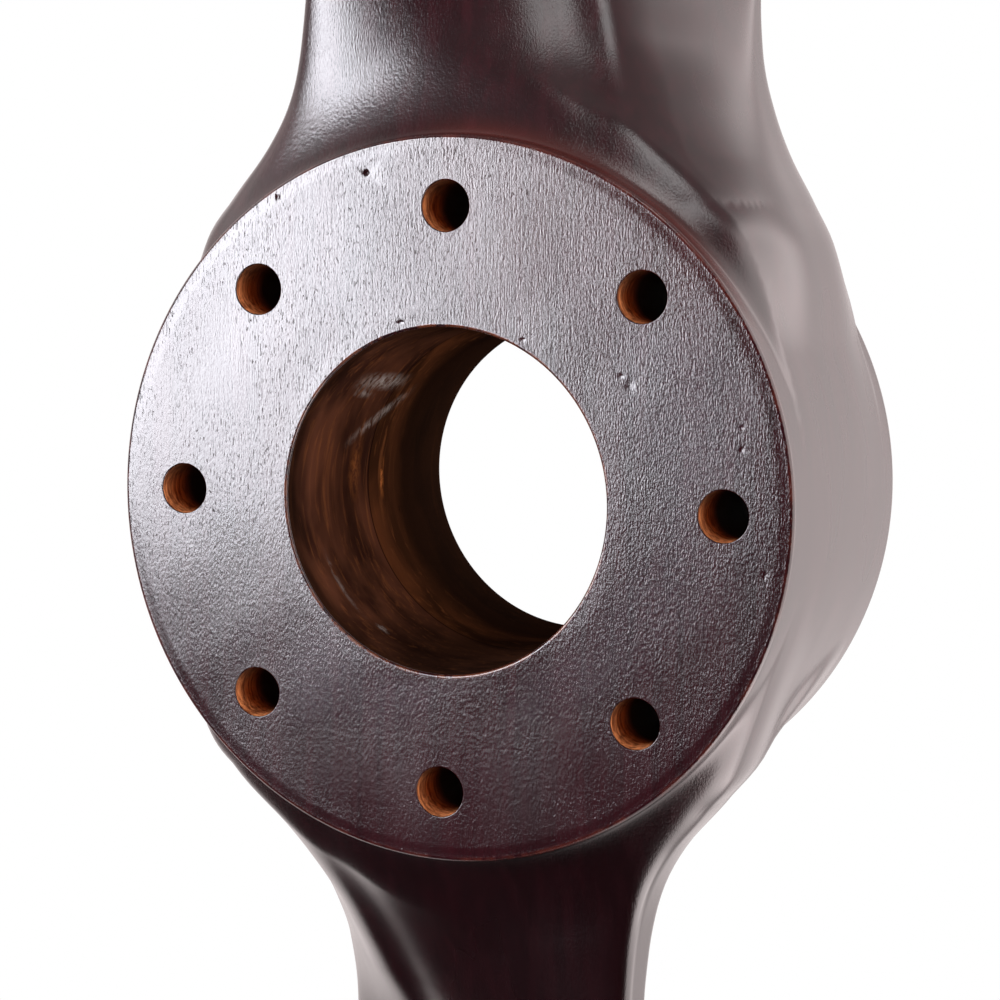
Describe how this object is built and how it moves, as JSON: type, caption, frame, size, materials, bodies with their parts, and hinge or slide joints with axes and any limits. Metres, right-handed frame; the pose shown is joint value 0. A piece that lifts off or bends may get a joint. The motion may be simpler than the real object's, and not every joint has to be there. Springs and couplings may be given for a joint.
{
  "type": "aircraft propeller",
  "caption": "Wooden aircraft propeller carved from glued boards: a thick round hub with a wide bore and a ring of bolt holes, and long twisted blades that pull an aircraft forward.",
  "frame": {"origin": "centre of the bore on the hub's rear face, the face that lies on the engine's hub flange", "axes": "+Y along the hub's axis from the front face to the rear face, +Z along one blade to its tip, +X to the right seen from the front"},
  "size_m": [0.186, 0.098, 1.864],
  "materials": {
    "stained_wood": "satin"
  },
  "bodies": {
    "root": {"front_board": "stained_wood", "second_board": "stained_wood", "third_board": "stained_wood", "fourth_board": "stained_wood", "fifth_board": "stained_wood", "rear_board": "stained_wood"}
  },
  "joints": []
}
